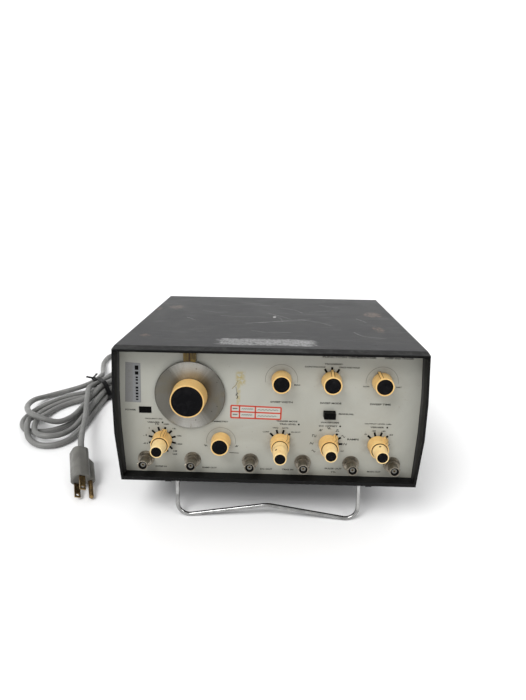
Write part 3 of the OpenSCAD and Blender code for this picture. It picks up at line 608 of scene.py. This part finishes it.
for node, obj in frame["nodes"].items():
    mat = MATERIALS.get(node) or KNOB_MATERIALS.get(node.split("_")[-1], cream)
    obj.data.materials.clear()
    obj.data.materials.append(mat)
cord.data.materials.append(jacket)
for obj, mat in zip((*PLUG, tie), (plug_vinyl, brass, tie_plastic)):
    obj.data.materials.clear()
    obj.data.materials.append(mat)


# ---------------------------------------------------------------- helpers for shapes
def mesh_piece(name, body, mat, verts, faces, matrix, sharp=35):
    """A mesh of its own on one body, shaded smooth up to the sharp angle, in degrees."""
    mesh = bpy.data.meshes.new(name)
    mesh.from_pydata([tuple(v) for v in verts], [], faces)
    mesh.update()
    obj = bpy.data.objects.new(name, mesh)
    obj.matrix_world = matrix
    scene.collection.objects.link(obj)
    mesh.materials.append(mat)
    mesh.polygons.foreach_set("use_smooth", [True] * len(mesh.polygons))
    mesh.set_sharp_from_angle(angle=math.radians(sharp))
    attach(obj, body)
    return obj


for node in frame["nodes"]:
    if node.endswith("_knob"):
        soften(node, 0.7 if node != "dial_knob" else 1.0)
    elif node.endswith("_outer") or node.endswith("_inner"):
        soften(node, 0.6)
    elif node.endswith("_cap") and node != "fuse_cap":
        soften(node, 0.25, 2)
soften("top_cover", 0.8)
soften("bottom_cover", 0.8)
soften("front_bezel", 0.5)
soften("front_panel", 0)
soften("dial_index", 0.5)
soften("power_button", 0.4)
soften("trigger_button", 0.7)
soften("bnc_shells", 0.25, 2)
soften("bnc_nuts", 0.2, 2)
soften("bail", 0, 1, 50)
for node in ("rear_feet", "front_feet"):
    soften(node, 1.2)


def turned(name, body, slot, mat, profile, matrix, sides=96):
    """A shape turned round Z from (radius, height) points, in mm."""
    verts, faces = [], []
    for r, h in profile:
        verts += [(r * math.cos(2 * math.pi * k / sides), r * math.sin(2 * math.pi * k / sides), h)
                  for k in range(sides)]
    for i in range(len(profile) - 1):
        for k in range(sides):
            m = (k + 1) % sides
            faces.append((i * sides + k, i * sides + m, (i + 1) * sides + m, (i + 1) * sides + k))
    return mesh_piece(name, body, mat, verts, faces, matrix, 30)


# ---------------------------------------------------------------- dial
disc = turned("dial_plate", "dial", "dial_metal", dial_metal,
              [(7.3, 1.85), (32.3, 1.85), (33.05, 2.15), (33.05, 2.6), (32.5, 3.15), (31.9, 3.2),
               (17.2, 3.2), (16.9, 3.05), (7.3, 3.05), (7.3, 1.85)], panel(*DIAL), 128)
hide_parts("dial_disc")


class Prints:
    """Flat marks lying on one face, gathered into one mesh per ink. Sizes are in mm."""

    def __init__(self, name, body, slot, matrix, height):
        self.name, self.body, self.slot, self.matrix, self.height = name, body, slot, matrix, height
        self.parts = {}

    def face(self, mat, points, lift=0.0):
        verts, faces = self.parts.setdefault(mat.name, ([], []))
        faces.append(tuple(range(len(verts), len(verts) + len(points))))
        verts += [(x, y, self.height + lift) for x, y in points]

    def line(self, mat, a, b, width, lift=0.0):
        a, b = Vector(a), Vector(b)
        side = (b - a).normalized()
        side = Vector((-side.y, side.x)) * (width / 2)
        self.face(mat, [a - side, b - side, b + side, a + side], lift)

    def path(self, mat, points, width, lift=0.0):
        for a, b in zip(points, points[1:]):
            self.line(mat, a, b, width, lift)

    def box(self, mat, x0, x1, y0, y1, lift=0.0):
        self.face(mat, [(x0, y0), (x1, y0), (x1, y1), (x0, y1)], lift)

    def ray(self, mat, centre, turn, r0, r1, width, lift=0.0):
        c, d = Vector(centre), Vector((math.sin(math.radians(turn)), math.cos(math.radians(turn))))
        self.line(mat, c + d * r0, c + d * r1, width, lift)

    def arc(self, mat, centre, r, half, width, steps=36):
        """An arc over the top of a centre, half degrees to either side."""
        turns = [math.radians(half * (2 * k / steps - 1)) for k in range(steps + 1)]
        spots = [Vector(centre) + r * Vector((math.sin(turn), math.cos(turn))) for turn in turns]
        self.path(mat, spots, width)

    def words(self, mat, text, x0, x1, y, height, bold=0.03):
        """Plain generic lettering fitted between x0 and x1 and centred on y."""
        curve = bpy.data.curves.new("lettering", "FONT")
        curve.body = text
        curve.offset = bold
        curve.resolution_u = 3
        letters = bpy.data.objects.new("lettering", curve)
        scene.collection.objects.link(letters)
        mesh = bpy.data.meshes.new_from_object(letters)
        xs = [v.co.x for v in mesh.vertices]
        ys = [v.co.y for v in mesh.vertices]
        kx, ky = (x1 - x0) / (max(xs) - min(xs)), height / (max(ys) - min(ys))
        verts, faces = self.parts.setdefault(mat.name, ([], []))
        start = len(verts)
        verts += [(x0 + (v.co.x - min(xs)) * kx, y + (v.co.y - (max(ys) + min(ys)) / 2) * ky, self.height)
                  for v in mesh.vertices]
        faces += [tuple(start + i for i in f.vertices) for f in mesh.polygons]
        bpy.data.objects.remove(letters)
        bpy.data.curves.remove(curve)
        bpy.data.meshes.remove(mesh)

    def close(self):
        for i, (mat, (verts, faces)) in enumerate(sorted(self.parts.items())):
            mesh_piece(f"{self.name}_{i}", self.body, bpy.data.materials[mat], verts, faces,
                       self.matrix)


scale = Prints("dial_marks", "dial", "dial_metal", panel(*DIAL), 3.22)
for k in range(60):
    long = k % 5 == 0
    scale.ray(ink_grey, (0, 0), 6 * k, 31.0 if long else 31.7, 32.3, 0.16 if long else 0.1)
for turn, r in ((14, 26.5), (112, 27), (127, 25), (62, 28.5), (168, 24.5)):
    scale.ray(ink_grey, (0, 0), turn, r, r + 0.9, 0.7)
scale.ray(ink_grey, (0, 0), -38, 27, 32, 0.22)
scale.close()

# ---------------------------------------------------------------- panel lettering and marks
marks = Prints("panel_print", "case", "panel_paint", panel(0, 0), 0.05)
# text, its left and right end, its middle's height on the panel, and the letters' height
LABELS = (
    ("FUNCTION GENERATOR", 48, 97, 123.7, 1.7), ("SWEEP AND TRIGGER", 104.5, 131, 123.6, 1.5),
    ("POWER", -136.5, -126.3, 67.5, 1.7), ("SWEEP WIDTH", 1, 22, 78.7, 1.8),
    ("SWEEP MODE", 47.5, 67.5, 78.7, 1.8), ("SWEEP TIME", 94, 113.5, 78.7, 1.8),
    ("TRIGGERED", 50, 66.5, 117, 1.5), ("CONTINUOUS", 32, 51, 114, 1.5),
    ("ONCE AND HOLD", 63.5, 82.5, 114, 1.5), ("MANUAL", 65.5, 80, 68.2, 1.6),
    ("FREQUENCY (Hz)", -118, -101.5, 58.7, 1.6), ("VERNIER", -116, -104, 55.2, 1.6),
    ("SYMMETRY", -56, -38.5, 57.6, 1.6), ("TRIGGER MODE", 7, 27, 59.5, 1.6),
    ("TRIG LEVEL", 10, 26, 56.5, 1.6), ("WAVEFORM", 49, 66, 59.2, 1.6), ("DC OFFSET", 47.5, 65, 55.6, 1.6),
    ("OUTPUT LEVEL (dB)", 90.5, 115.5, 58.8, 1.6), ("VERNIER", 96, 109, 55.5, 1.6),
    ("SWEEP IN", -110, -99, 9, 1.6), ("RAMP OUT", -64, -50, 9, 1.6), ("DC OUT", -7.5, 4, 9, 1.6),
    ("TRIG IN", 13.5, 24.5, 9, 1.6), ("PULSE OUT", 55, 71.5, 11.3, 1.6), ("TTL", 61, 66, 7.6, 1.6),
    ("MAIN OUT", 96, 109, 9, 1.6), ("MAX", 22.8, 28.6, 96, 1.4), ("SLOW", 86.5, 92.6, 96, 1.3),
    ("FAST", 117, 122.2, 96, 1.3), ("CONT", -5.5, 0.5, 48.2, 1.3), ("TRIG", 3.5, 9, 52.5, 1.3),
    ("GATE", 12.5, 18.5, 52.5, 1.3), ("0", 91, 93, 48.2, 1.4), ("-20", 97.5, 101.5, 51.8, 1.4),
    ("-40", 106.5, 110.5, 51.8, 1.4), ("-60", 113.8, 117.8, 48.2, 1.4), ("DC", 69.4, 72.4, 30, 1.4),
)
for text, x0, x1, z, height in LABELS:
    marks.words(ink_grey, text, x0, x1, z, height)
marks.words(ink_grey, "BURST", 21.5, 30.5, 48.5, 1.3, 0.015)
marks.words(ink, "VAR", -93, -88, 22.3, 1.7, 0.02)
marks.words(ink, "RAMPS", 75, 86, 42.5, 1.9)
for x, z in ((-102.2, 55.2), (27.6, 56.5), (66.8, 55.6), (111.2, 55.5)):
    marks.box(ink, x, x + 1.5, z - 0.8, z + 0.8)

# knob scales: thin arcs, and bold ticks at every position of a switch
marks.arc(ink_pale, CONTROLS["sweep_width"], 15, 100, 0.45)
marks.arc(ink_pale, CONTROLS["sweep_time"], 14.8, 96, 0.45)
marks.arc(ink_pale, CONTROLS["symmetry"], 14, 100, 0.45)
TICK = 9.2, 13.5, 1.95
RANGES = (".01", ".1", "1", "10", "100", "1K", "10K", "100K", "1M")
RANGE_TURNS = range(-105, 136, 30)
for body, turns in (("sweep_mode", (-30, 0, 30)), ("range_select", RANGE_TURNS),
                    ("trigger_select", (-45, -15, 15, 45)), ("level_select", (-45, -15, 15, 45)),
                    ("shape_select", (38, 60, 90))):
    for turn in turns:
        marks.ray(ink, CONTROLS[body], turn, *TICK)
marks.ray(ink, CONTROLS["range_select"], 158, 9.2, 13.6, 1.7)
for text, turn in zip(RANGES, RANGE_TURNS):
    x = CONTROLS["range_select"][0] + 17.2 * math.sin(math.radians(turn))
    z = CONTROLS["range_select"][1] + 16.6 * math.cos(math.radians(turn))
    half = 0.3 if text == "1" else 0.62 * len(text) + 0.5
    marks.words(ink_grey, text, x - half, x + half, z, 1.5)


def wave(kind, x, z, w=1.7, h=1.1):
    shapes = {
        "sine": [(w * (k / 8 - 1), h * math.sin(math.pi * k / 8)) for k in range(17)],
        "triangle": [(-w, -h), (-w / 2, h), (w / 2, -h), (w, h)],
        "square": [(-w, -h), (-w, h), (0, h), (0, -h), (w, -h), (w, h)],
        "ramp": [(-w, -h), (0, h), (0, -h), (w, h)],
        "fall": [(-w, h), (0, -h), (0, h), (w, -h)],
        "pulse": [(-w, -h), (-w / 3, -h), (-w / 3, h), (w / 3, h), (w / 3, -h), (w, -h)],
    }
    marks.path(ink_grey, [(x + a, z + b) for a, b in shapes[kind]], 0.5)


WAVES = ("sine", "triangle", "square", "ramp", "fall", "pulse", "sine", "triangle")
for k, kind in enumerate(WAVES):
    turn = math.radians(-120 + 30 * k)
    x, z = CONTROLS["shape_select"]
    wave(kind, x + 16 * math.sin(turn), z + 16 * math.cos(turn))
wave("fall", -60.4, 32.4, 1.5, 0.9)
wave("ramp", -30.6, 32.4, 1.5, 0.9)
marks.line(ink_grey, (-37.5, 25.5), (-28.5, 25.2), 0.6)

# service stickers and pencil marks
marks.face(sticker_grey, [(-136.3, 75.5), (-121, 75), (-120, 113.8), (-134, 114.8)])
marks.face(sticker_blue, [(-128.9, 75.6), (-121.6, 75.4), (-120.6, 113.3), (-127.2, 113.7)], 0.02)
for z, h, w in ((109.4, 4.2, 3.4), (104.2, 3.2, 3.2), (99.9, 1.7, 2.2), (97.4, 1.6, 2.4), (94.2, 1.7, 2.2),
                (89.8, 2.0, 2.6), (86.9, 1.8, 2.4), (83.9, 2.0, 2.6), (80.9, 1.8, 2.4), (78.2, 1.4, 2.4)):
    x = -124.2 + (z - 94) * 0.028
    marks.box(ink, x - w / 2, x + w / 2, z - h / 2, z + h / 2, 0.04)
for z in (106, 100, 93.5, 87):
    marks.path(ink_pale, [(-132.6, z - 2.2), (-131.2, z + 1.4), (-130.6, z - 1), (-129.8, z + 2)], 0.5, 0.03)
marks.face(sticker_white, [(-36.2, 61.9), (11, 61.2), (11.3, 73), (-35.9, 74.2)])
for a, b in (((-36.2, 61.9), (11, 61.2)), ((11, 61.2), (11.3, 73)), ((11.3, 73), (-35.9, 74.2)),
             ((-35.9, 74.2), (-36.2, 61.9)), ((-36, 68.2), (11.2, 67.2)), ((-27.9, 74), (-28, 61.8)),
             ((-12.9, 73.7), (-13.1, 61.6))):
    marks.line(ink_red, a, b, 1.45, 0.02)
for x0, x1, z in ((-34.3, -30, 71.2), (-26, -15, 71), (-11, 8.5, 70.4),
                  (-34.3, -30, 65.2), (-26, -16, 65), (-11, 7, 64.2)):
    zigzag = [(x0 + (x1 - x0) * k / 12, z + (0.55 if k % 2 else -0.5)) for k in range(13)]
    marks.path(ink_pale, zigzag, 0.75, 0.02)
marks.path(ink_stain, [(-35, 91), (-31.5, 94.5), (-29.5, 99)], 0.6)
marks.path(ink_pale, [(-31.5, 93), (-30.6, 88), (-31.6, 84)], 0.6)
marks.path(ink_grey, [(-30.6, 81), (-29.6, 83), (-30.8, 85), (-29.6, 87)], 0.7)
marks.close()

# painted shadows: thin dark strips beside the pointers of the knobs, and a dark ring in the gap between the
# knobs of a pair
SINGLE = (8.3, 13.2), (9.35, 12.8), (11.0, 2.4), (11.0, 1.0)
DOUBLE = (7.8, 13.06), (8.75, 12.56), (11.5, 12.54), (11.55, 1.0)
POINTS_TO = {"sweep_width": 152, "sweep_mode": 0, "sweep_time": -21, "symmetry": 166,
             "range_select": 15, "trigger_select": 45, "shape_select": 38, "level_select": 45}
SHADOW_STRIP_AT = 1.16
for body, turn in POINTS_TO.items():
    shadow_strip = SINGLE if body in SINGLES else DOUBLE
    verts, faces = [], []
    for side in (-1, 1):
        base = len(verts)
        for y, h in shadow_strip:
            verts += [(side * SHADOW_STRIP_AT, y, h), (side * (SHADOW_STRIP_AT + 0.4), y - 0.1, h + 0.05)]
        faces += [tuple(base + i for i in f) for f in ((0, 1, 3, 2), (2, 3, 5, 4), (4, 5, 7, 6))]
    mesh_piece(body + "_rib", body, ink_brown, verts, faces,
               panel(*CONTROLS[body], turn))
    if shadow_strip is DOUBLE:
        # painted shade in the gap between the two knobs of a pair
        turned(body + "_gap", body, "knob_cream", ink_brown, [(2.2, 13.04), (7.75, 13.04)],
               panel(*CONTROLS[body]), 64)
turned("trigger_level_stem", "trigger_level", "knob_cream", cream_light,
       [(1.6, 13.5), (7.1, 13.5), (7.1, 21.5)], panel(*CONTROLS["trigger_select"]), 72)

# the index line over the dial, and the set-screw holes of two inner knobs
line = Prints("index_line", "case", SLOT["dial_index"], panel(0, 0), 6.05)
line.box(ink_brown, DIAL[0] + 0.2, DIAL[0] + 1.9, 118.3, 127)
line.close()

for body, place, turn, out, r in (("level_vernier", CONTROLS["level_select"], -8, 17.5, 6.72),
                                  ("trigger_level", CONTROLS["trigger_select"], -35, 27, 6.6)):
    m = panel(*place, turn) @ Matrix.Translation((0, r, out)) @ Matrix.Rotation(-math.pi / 2, 4, "X")
    turned(body + "_screw_hole", body, "knob_cream", ink, [(0, 0.12), (0.95, 0.12), (1.0, -0.4)], m, 20)

# hairline scratches on the lid
lid = Prints("lid_scratches", "case", SLOT["top_cover"], CASE @ Matrix.Scale(0.001, 4), 133.04)
for points, width in ((((-28, 92), (2, 103), (38, 112)), 0.5), (((-5, 150), (14, 128), (22, 116)), 0.4),
                      (((30, 118), (52, 104), (64, 88)), 0.35), (((-60, 132), (-38, 126), (-8, 128)), 0.35),
                      (((8, 186), (30, 168), (36, 152)), 0.35), (((-96, 118), (-84, 104)), 0.4),
                      (((44, 160), (70, 170)), 0.3), (((84, 60), (92, 44), (112, 36)), 0.4),
                      (((-70, 190), (-40, 200), (10, 196)), 0.3), (((60, 205), (84, 190)), 0.4),
                      (((-20, 60), (-2, 52), (20, 54)), 0.3), (((96, 128), (104, 108)), 0.45),
                      (((-14, 96), (12, 108), (44, 122)), 0.45), (((2, 140), (10, 120), (12, 104)), 0.3),
                      (((-84, 160), (-66, 150), (-52, 152)), 0.3), (((-40, 214), (-12, 206)), 0.35)):
    bent = smooth([Vector((x, y, 0)) for x, y in points], 7)
    lid.path(scratch, [(p.x, p.y) for p in bent], width)
lid.close()

# painted shade: a near-black lining in the mouths of the jacks
for i, x in enumerate(JACK_X):
    turned(f"jack_lining_{i}", "case", "jack_nickel", mouth_shade_dark,
           [(2.42, 6.58), (4.0, 6.58), (4.0, 14.6)], panel(x, JACK_Z), 48)

# ---------------------------------------------------------------- stage and light
floor_mat = Paint("floor", (0.88, 0.88, 0.88), 0.9, spec=0.1)
FLOOR_HALF = 14.0
BEND_FROM = 1.6
BEND_R = 1.2
WALL_TOP = 7.0
bend = [math.radians(a) for a in range(10, 91, 10)]
sweep = [(-FLOOR_HALF, 0.0), (BEND_FROM, 0.0)]
sweep += [(BEND_FROM + BEND_R * math.sin(a), BEND_R - BEND_R * math.cos(a)) for a in bend]
sweep += [(BEND_FROM + BEND_R, WALL_TOP)]
mesh = bpy.data.meshes.new("floor")
mesh.from_pydata([(x, y, z) for y, z in sweep for x in (-FLOOR_HALF, FLOOR_HALF)], [],
                 [(2 * i, 2 * i + 1, 2 * i + 3, 2 * i + 2) for i in range(len(sweep) - 1)])
mesh.polygons.foreach_set("use_smooth", [True] * len(mesh.polygons))
mesh.materials.append(floor_mat.mat)
floor = bpy.data.objects.new("floor", mesh)
scene.collection.objects.link(floor)

world = bpy.data.worlds.new("world")
scene.world = world
world.use_nodes = True
world.node_tree.nodes["Background"].inputs[0].default_value = (1, 1, 1, 1)
world.node_tree.nodes["Background"].inputs[1].default_value = 0.78
scene.view_settings.view_transform = "Standard"


def light(name, kind, place, target, size, power):
    data = bpy.data.lights.new(name, kind)
    if kind == "SUN":
        data.angle = size
    else:
        data.shape = "DISK"
        data.size = size
    data.energy = power
    obj = bpy.data.objects.new(name, data)
    obj.location = place
    obj.rotation_mode = "QUATERNION"
    obj.rotation_quaternion = (Vector(target) - Vector(place)).to_track_quat("-Z", "Y")
    scene.collection.objects.link(obj)


light("key", "SUN", (-0.8, -0.9, 1.7), (0, 0, 0), math.radians(30), 1.7)
light("side", "AREA", (0.9, -0.7, 1.1), (0, 0, 0.08), 0.6, 3)

# ---------------------------------------------------------------- end
bpy.context.view_layer.update()
